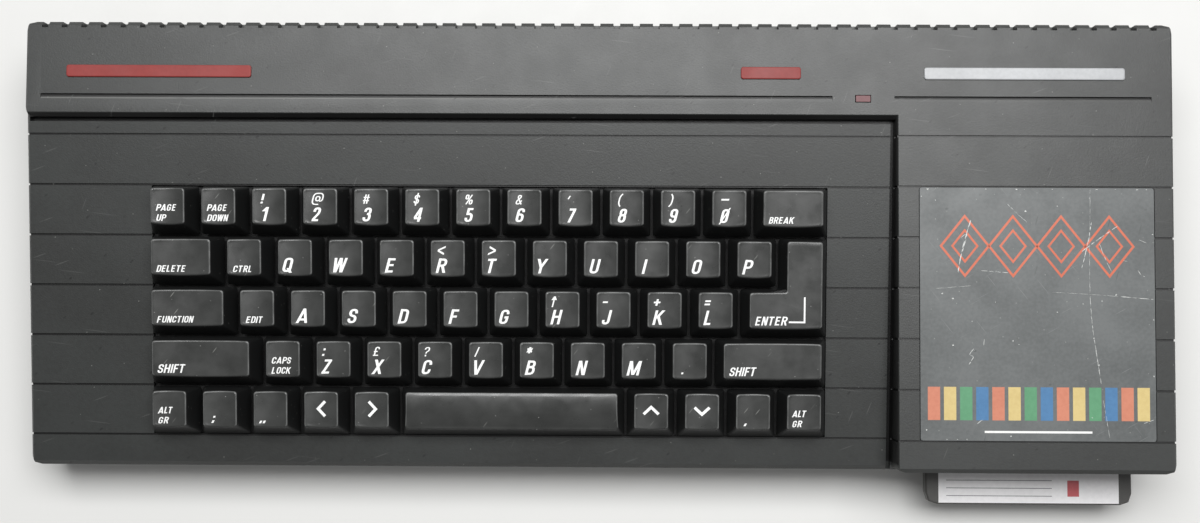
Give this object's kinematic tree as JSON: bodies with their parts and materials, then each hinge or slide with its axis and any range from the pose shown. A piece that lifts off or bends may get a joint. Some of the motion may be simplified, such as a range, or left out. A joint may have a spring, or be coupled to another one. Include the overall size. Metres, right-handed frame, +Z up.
{
  "type": "vintage home computer",
  "caption": "Dark grey home computer with a sloping full keyboard, a raised band behind it and a raised block on the right with a slot drive that holds a disc.",
  "frame": {"origin": "middle of the bounding box's bottom, on the surface that the feet stand on", "axes": "+X to the right as its user sees it, +Y to the rear, +Z up"},
  "size_m": [0.4336, 0.1832, 0.0488],
  "materials": {
    "case_charcoal": "fine grained charcoal-grey moulded plastic",
    "base_dark": "near-black moulded plastic",
    "key_plastic": "worn semi-gloss dark grey moulded plastic",
    "frame_plastic": "near-black moulded plastic",
    "dome_rubber": "grey silicone rubber",
    "membrane_film": "clear film with printed silver tracks",
    "zinc_steel": "zinc-plated pressed steel",
    "circuit_board": "green solder resist with black components",
    "hub_metal": "turned aluminium",
    "carriage_metal": "die-cast aluminium",
    "bezel_black": "black moulded plastic",
    "disc_plastic": "dark grey moulded plastic with a silver-white paper label",
    "label_grey": "scratched printed grey plate",
    "led_red": "dull red diffusing plastic"
  },
  "bodies": {
    "case": {"upper_case": "case_charcoal", "lower_case": "base_dark", "key_frame": "frame_plastic", "dome_mat": "dome_rubber", "key_membrane": "membrane_film", "key_backplate": "zinc_steel", "main_board": "circuit_board", "drive_chassis": "zinc_steel", "drive_bezel": "bezel_black", "label_plate": "label_grey", "power_led": "led_red"},
    "key_1": {"key_1": "key_plastic"},
    "key_2": {"key_2": "key_plastic"},
    "key_3": {"key_3": "key_plastic"},
    "key_4": {"key_4": "key_plastic"},
    "key_5": {"key_5": "key_plastic"},
    "key_6": {"key_6": "key_plastic"},
    "key_7": {"key_7": "key_plastic"},
    "key_8": {"key_8": "key_plastic"},
    "key_9": {"key_9": "key_plastic"},
    "key_0": {"key_0": "key_plastic"},
    "key_q": {"key_q": "key_plastic"},
    "key_w": {"key_w": "key_plastic"},
    "key_e": {"key_e": "key_plastic"},
    "key_r": {"key_r": "key_plastic"},
    "key_t": {"key_t": "key_plastic"},
    "key_y": {"key_y": "key_plastic"},
    "key_u": {"key_u": "key_plastic"},
    "key_i": {"key_i": "key_plastic"},
    "key_o": {"key_o": "key_plastic"},
    "key_p": {"key_p": "key_plastic"},
    "key_a": {"key_a": "key_plastic"},
    "key_s": {"key_s": "key_plastic"},
    "key_d": {"key_d": "key_plastic"},
    "key_f": {"key_f": "key_plastic"},
    "key_g": {"key_g": "key_plastic"},
    "key_h": {"key_h": "key_plastic"},
    "key_j": {"key_j": "key_plastic"},
    "key_k": {"key_k": "key_plastic"},
    "key_l": {"key_l": "key_plastic"},
    "key_z": {"key_z": "key_plastic"},
    "key_x": {"key_x": "key_plastic"},
    "key_c": {"key_c": "key_plastic"},
    "key_v": {"key_v": "key_plastic"},
    "key_b": {"key_b": "key_plastic"},
    "key_n": {"key_n": "key_plastic"},
    "key_m": {"key_m": "key_plastic"},
    "key_enter": {"key_enter": "key_plastic"},
    "key_space": {"key_space": "key_plastic"},
    "key_shift_left": {"key_shift_left": "key_plastic"},
    "key_shift_right": {"key_shift_right": "key_plastic"},
    "key_arrow_left": {"key_arrow_left": "key_plastic"},
    "key_arrow_right": {"key_arrow_right": "key_plastic"},
    "key_arrow_up": {"key_arrow_up": "key_plastic"},
    "key_arrow_down": {"key_arrow_down": "key_plastic"},
    "eject_button": {"eject_button": "bezel_black"},
    "reset_button": {"reset_button": "key_plastic"},
    "disc": {"disc_shell": "disc_plastic"},
    "drive_hub": {"drive_hub": "hub_metal"},
    "head_carriage": {"head_carriage": "carriage_metal"}
  },
  "joints": [
    {"name": "key_1_press", "type": "slide", "parent": "case", "child": "key_1", "axis": [0, 0.0975, -0.9952], "range_m": [0, 0.0032], "stiffness_N_per_m": 150, "springref_m": -0.0015, "deforming": ["dome_mat"]},
    {"name": "key_2_press", "type": "slide", "parent": "case", "child": "key_2", "axis": [0, 0.0975, -0.9952], "range_m": [0, 0.0032], "stiffness_N_per_m": 150, "springref_m": -0.0015, "deforming": ["dome_mat"]},
    {"name": "key_3_press", "type": "slide", "parent": "case", "child": "key_3", "axis": [0, 0.0975, -0.9952], "range_m": [0, 0.0032], "stiffness_N_per_m": 150, "springref_m": -0.0015, "deforming": ["dome_mat"]},
    {"name": "key_4_press", "type": "slide", "parent": "case", "child": "key_4", "axis": [0, 0.0975, -0.9952], "range_m": [0, 0.0032], "stiffness_N_per_m": 150, "springref_m": -0.0015, "deforming": ["dome_mat"]},
    {"name": "key_5_press", "type": "slide", "parent": "case", "child": "key_5", "axis": [0, 0.0975, -0.9952], "range_m": [0, 0.0032], "stiffness_N_per_m": 150, "springref_m": -0.0015, "deforming": ["dome_mat"]},
    {"name": "key_6_press", "type": "slide", "parent": "case", "child": "key_6", "axis": [0, 0.0975, -0.9952], "range_m": [0, 0.0032], "stiffness_N_per_m": 150, "springref_m": -0.0015, "deforming": ["dome_mat"]},
    {"name": "key_7_press", "type": "slide", "parent": "case", "child": "key_7", "axis": [0, 0.0975, -0.9952], "range_m": [0, 0.0032], "stiffness_N_per_m": 150, "springref_m": -0.0015, "deforming": ["dome_mat"]},
    {"name": "key_8_press", "type": "slide", "parent": "case", "child": "key_8", "axis": [0, 0.0975, -0.9952], "range_m": [0, 0.0032], "stiffness_N_per_m": 150, "springref_m": -0.0015, "deforming": ["dome_mat"]},
    {"name": "key_9_press", "type": "slide", "parent": "case", "child": "key_9", "axis": [0, 0.0975, -0.9952], "range_m": [0, 0.0032], "stiffness_N_per_m": 150, "springref_m": -0.0015, "deforming": ["dome_mat"]},
    {"name": "key_0_press", "type": "slide", "parent": "case", "child": "key_0", "axis": [0, 0.0975, -0.9952], "range_m": [0, 0.0032], "stiffness_N_per_m": 150, "springref_m": -0.0015, "deforming": ["dome_mat"]},
    {"name": "key_q_press", "type": "slide", "parent": "case", "child": "key_q", "axis": [0, 0.0975, -0.9952], "range_m": [0, 0.0032], "stiffness_N_per_m": 150, "springref_m": -0.0015, "deforming": ["dome_mat"]},
    {"name": "key_w_press", "type": "slide", "parent": "case", "child": "key_w", "axis": [0, 0.0975, -0.9952], "range_m": [0, 0.0032], "stiffness_N_per_m": 150, "springref_m": -0.0015, "deforming": ["dome_mat"]},
    {"name": "key_e_press", "type": "slide", "parent": "case", "child": "key_e", "axis": [0, 0.0975, -0.9952], "range_m": [0, 0.0032], "stiffness_N_per_m": 150, "springref_m": -0.0015, "deforming": ["dome_mat"]},
    {"name": "key_r_press", "type": "slide", "parent": "case", "child": "key_r", "axis": [0, 0.0975, -0.9952], "range_m": [0, 0.0032], "stiffness_N_per_m": 150, "springref_m": -0.0015, "deforming": ["dome_mat"]},
    {"name": "key_t_press", "type": "slide", "parent": "case", "child": "key_t", "axis": [0, 0.0975, -0.9952], "range_m": [0, 0.0032], "stiffness_N_per_m": 150, "springref_m": -0.0015, "deforming": ["dome_mat"]},
    {"name": "key_y_press", "type": "slide", "parent": "case", "child": "key_y", "axis": [0, 0.0975, -0.9952], "range_m": [0, 0.0032], "stiffness_N_per_m": 150, "springref_m": -0.0015, "deforming": ["dome_mat"]},
    {"name": "key_u_press", "type": "slide", "parent": "case", "child": "key_u", "axis": [0, 0.0975, -0.9952], "range_m": [0, 0.0032], "stiffness_N_per_m": 150, "springref_m": -0.0015, "deforming": ["dome_mat"]},
    {"name": "key_i_press", "type": "slide", "parent": "case", "child": "key_i", "axis": [0, 0.0975, -0.9952], "range_m": [0, 0.0032], "stiffness_N_per_m": 150, "springref_m": -0.0015, "deforming": ["dome_mat"]},
    {"name": "key_o_press", "type": "slide", "parent": "case", "child": "key_o", "axis": [0, 0.0975, -0.9952], "range_m": [0, 0.0032], "stiffness_N_per_m": 150, "springref_m": -0.0015, "deforming": ["dome_mat"]},
    {"name": "key_p_press", "type": "slide", "parent": "case", "child": "key_p", "axis": [0, 0.0975, -0.9952], "range_m": [0, 0.0032], "stiffness_N_per_m": 150, "springref_m": -0.0015, "deforming": ["dome_mat"]},
    {"name": "key_a_press", "type": "slide", "parent": "case", "child": "key_a", "axis": [0, 0.0975, -0.9952], "range_m": [0, 0.0032], "stiffness_N_per_m": 150, "springref_m": -0.0015, "deforming": ["dome_mat"]},
    {"name": "key_s_press", "type": "slide", "parent": "case", "child": "key_s", "axis": [0, 0.0975, -0.9952], "range_m": [0, 0.0032], "stiffness_N_per_m": 150, "springref_m": -0.0015, "deforming": ["dome_mat"]},
    {"name": "key_d_press", "type": "slide", "parent": "case", "child": "key_d", "axis": [0, 0.0975, -0.9952], "range_m": [0, 0.0032], "stiffness_N_per_m": 150, "springref_m": -0.0015, "deforming": ["dome_mat"]},
    {"name": "key_f_press", "type": "slide", "parent": "case", "child": "key_f", "axis": [0, 0.0975, -0.9952], "range_m": [0, 0.0032], "stiffness_N_per_m": 150, "springref_m": -0.0015, "deforming": ["dome_mat"]},
    {"name": "key_g_press", "type": "slide", "parent": "case", "child": "key_g", "axis": [0, 0.0975, -0.9952], "range_m": [0, 0.0032], "stiffness_N_per_m": 150, "springref_m": -0.0015, "deforming": ["dome_mat"]},
    {"name": "key_h_press", "type": "slide", "parent": "case", "child": "key_h", "axis": [0, 0.0975, -0.9952], "range_m": [0, 0.0032], "stiffness_N_per_m": 150, "springref_m": -0.0015, "deforming": ["dome_mat"]},
    {"name": "key_j_press", "type": "slide", "parent": "case", "child": "key_j", "axis": [0, 0.0975, -0.9952], "range_m": [0, 0.0032], "stiffness_N_per_m": 150, "springref_m": -0.0015, "deforming": ["dome_mat"]},
    {"name": "key_k_press", "type": "slide", "parent": "case", "child": "key_k", "axis": [0, 0.0975, -0.9952], "range_m": [0, 0.0032], "stiffness_N_per_m": 150, "springref_m": -0.0015, "deforming": ["dome_mat"]},
    {"name": "key_l_press", "type": "slide", "parent": "case", "child": "key_l", "axis": [0, 0.0975, -0.9952], "range_m": [0, 0.0032], "stiffness_N_per_m": 150, "springref_m": -0.0015, "deforming": ["dome_mat"]},
    {"name": "key_z_press", "type": "slide", "parent": "case", "child": "key_z", "axis": [0, 0.0975, -0.9952], "range_m": [0, 0.0032], "stiffness_N_per_m": 150, "springref_m": -0.0015, "deforming": ["dome_mat"]},
    {"name": "key_x_press", "type": "slide", "parent": "case", "child": "key_x", "axis": [0, 0.0975, -0.9952], "range_m": [0, 0.0032], "stiffness_N_per_m": 150, "springref_m": -0.0015, "deforming": ["dome_mat"]},
    {"name": "key_c_press", "type": "slide", "parent": "case", "child": "key_c", "axis": [0, 0.0975, -0.9952], "range_m": [0, 0.0032], "stiffness_N_per_m": 150, "springref_m": -0.0015, "deforming": ["dome_mat"]},
    {"name": "key_v_press", "type": "slide", "parent": "case", "child": "key_v", "axis": [0, 0.0975, -0.9952], "range_m": [0, 0.0032], "stiffness_N_per_m": 150, "springref_m": -0.0015, "deforming": ["dome_mat"]},
    {"name": "key_b_press", "type": "slide", "parent": "case", "child": "key_b", "axis": [0, 0.0975, -0.9952], "range_m": [0, 0.0032], "stiffness_N_per_m": 150, "springref_m": -0.0015, "deforming": ["dome_mat"]},
    {"name": "key_n_press", "type": "slide", "parent": "case", "child": "key_n", "axis": [0, 0.0975, -0.9952], "range_m": [0, 0.0032], "stiffness_N_per_m": 150, "springref_m": -0.0015, "deforming": ["dome_mat"]},
    {"name": "key_m_press", "type": "slide", "parent": "case", "child": "key_m", "axis": [0, 0.0975, -0.9952], "range_m": [0, 0.0032], "stiffness_N_per_m": 150, "springref_m": -0.0015, "deforming": ["dome_mat"]},
    {"name": "key_enter_press", "type": "slide", "parent": "case", "child": "key_enter", "axis": [0, 0.0975, -0.9952], "range_m": [0, 0.0032], "stiffness_N_per_m": 200, "springref_m": -0.0015, "deforming": ["dome_mat"]},
    {"name": "key_space_press", "type": "slide", "parent": "case", "child": "key_space", "axis": [0, 0.0975, -0.9952], "range_m": [0, 0.0032], "stiffness_N_per_m": 220, "springref_m": -0.0015, "deforming": ["dome_mat"]},
    {"name": "key_shift_left_press", "type": "slide", "parent": "case", "child": "key_shift_left", "axis": [0, 0.0975, -0.9952], "range_m": [0, 0.0032], "stiffness_N_per_m": 180, "springref_m": -0.0015, "deforming": ["dome_mat"]},
    {"name": "key_shift_right_press", "type": "slide", "parent": "case", "child": "key_shift_right", "axis": [0, 0.0975, -0.9952], "range_m": [0, 0.0032], "stiffness_N_per_m": 180, "springref_m": -0.0015, "deforming": ["dome_mat"]},
    {"name": "key_arrow_left_press", "type": "slide", "parent": "case", "child": "key_arrow_left", "axis": [0, 0.0975, -0.9952], "range_m": [0, 0.0032], "stiffness_N_per_m": 150, "springref_m": -0.0015, "deforming": ["dome_mat"]},
    {"name": "key_arrow_right_press", "type": "slide", "parent": "case", "child": "key_arrow_right", "axis": [0, 0.0975, -0.9952], "range_m": [0, 0.0032], "stiffness_N_per_m": 150, "springref_m": -0.0015, "deforming": ["dome_mat"]},
    {"name": "key_arrow_up_press", "type": "slide", "parent": "case", "child": "key_arrow_up", "axis": [0, 0.0975, -0.9952], "range_m": [0, 0.0032], "stiffness_N_per_m": 150, "springref_m": -0.0015, "deforming": ["dome_mat"]},
    {"name": "key_arrow_down_press", "type": "slide", "parent": "case", "child": "key_arrow_down", "axis": [0, 0.0975, -0.9952], "range_m": [0, 0.0032], "stiffness_N_per_m": 150, "springref_m": -0.0015, "deforming": ["dome_mat"]},
    {"name": "eject_press", "type": "slide", "parent": "case", "child": "eject_button", "axis": [0, 1, 0], "range_m": [0, 0.003], "stiffness_N_per_m": 400, "springref_m": -0.001},
    {"name": "reset_press", "type": "slide", "parent": "case", "child": "reset_button", "axis": [1, 0, 0], "range_m": [0, 0.0012], "stiffness_N_per_m": 500, "springref_m": -0.001},
    {"name": "disc_slide", "type": "slide", "parent": "case", "child": "disc", "axis": [0, -1, 0], "range_m": [0, 0.09]},
    {"name": "hub_spin", "type": "hinge", "parent": "case", "child": "drive_hub", "pos_m": [0.1686, -0.03655, 0.01], "axis": [0, 0, 1], "continuous": true},
    {"name": "carriage_step", "type": "slide", "parent": "case", "child": "head_carriage", "axis": [0, -1, 0], "range_m": [0, 0.02]}
  ]
}
